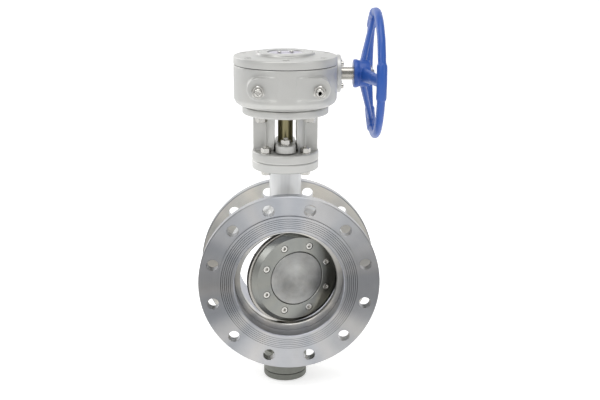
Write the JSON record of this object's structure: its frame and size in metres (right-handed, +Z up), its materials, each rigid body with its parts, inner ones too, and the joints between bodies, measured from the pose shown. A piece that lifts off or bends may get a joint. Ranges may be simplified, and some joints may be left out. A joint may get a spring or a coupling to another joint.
{
  "type": "butterfly valve",
  "caption": "Double-flanged butterfly valve with an offset metal-seated disc, an open yoke and a worm gear operator turned by a spoked handwheel.",
  "frame": {"origin": "centre of the inlet flange's raised face, on the pipe axis", "axes": "+Y along the pipe from inlet to outlet, +Z up along the stem, +X towards the handwheel"},
  "size_m": [0.3466, 0.3032, 0.7112],
  "materials": {
    "machined_steel": "turned stainless steel",
    "seat_steel": "fine turned stainless steel",
    "silver_paint": "satin silver-grey coat over cast texture",
    "stem_steel": "ground steel with a bronze-olive tint",
    "bright_steel": "bright ground steel",
    "zinc_fastener": "bright plated fastener",
    "bronze": "machined bronze",
    "graphite": "pressed graphite",
    "black_rubber": "moulded rubber",
    "disc_steel": "turned stainless steel with a polished face",
    "blue_enamel": "gloss enamel over a casting",
    "indicator_metal": "satin anodised plate"
  },
  "bodies": {
    "valve": {"valve_body": "machined_steel", "seat_ring": "seat_steel", "seat_gasket": "graphite", "upper_bush": "bronze", "lower_bush": "bronze", "packing_washer": "bright_steel", "packing_rings": "graphite", "gland_sleeve": "bright_steel", "gland_flange": "silver_paint", "gland_studs": "zinc_fastener", "gland_washers": "zinc_fastener", "gland_nuts": "zinc_fastener", "thrust_plate": "bronze", "bottom_gasket": "graphite", "bottom_cover": "silver_paint", "bottom_cover_screws": "zinc_fastener", "yoke": "silver_paint", "yoke_bolts": "zinc_fastener", "yoke_washers": "zinc_fastener", "yoke_nuts": "zinc_fastener", "gearbox_bolts": "zinc_fastener", "gearbox_washers": "zinc_fastener", "gear_housing": "silver_paint", "cover_gasket": "graphite", "gear_cover": "silver_paint", "gear_cover_screws": "silver_paint", "hub_o_ring": "black_rubber", "indicator_o_ring": "black_rubber", "bearing_outer_rings": "bright_steel", "bearing_cover": "silver_paint", "bearing_cover_screws": "zinc_fastener", "shaft_seal": "black_rubber", "stop_screws": "zinc_fastener", "stop_lock_nuts": "zinc_fastener"},
    "disc": {"stem": "stem_steel", "disc_plate": "disc_steel", "disc_pins": "bright_steel", "seal_steel_rings": "bright_steel", "seal_graphite_rings": "graphite", "seal_gasket": "graphite", "retaining_ring": "disc_steel", "retaining_screws": "bright_steel", "stem_key": "bright_steel", "worm_sector": "bronze", "indicator_plate": "indicator_metal", "indicator_screws": "zinc_fastener"},
    "handwheel": {"worm_shaft": "bright_steel", "bearing_inner_rings": "bright_steel", "bearing_balls": "bright_steel", "handwheel": "blue_enamel", "handwheel_key": "bright_steel", "handwheel_washer": "zinc_fastener", "handwheel_screw": "zinc_fastener"}
  },
  "joints": [
    {"name": "handwheel_turn", "type": "hinge", "parent": "valve", "child": "handwheel", "pos_m": [0, 0.146, 0.375], "axis": [1, 0, 0], "range_deg": [-779, 2641]},
    {"name": "disc_turn", "type": "hinge", "parent": "valve", "child": "disc", "pos_m": [-0.006, 0.076, 0], "axis": [0, 0, 1], "range_deg": [-20.5, 69.5]}
  ],
  "couplings": [
    {"joint": "disc_turn", "follows": "handwheel_turn", "ratio": 0.026316}
  ]
}
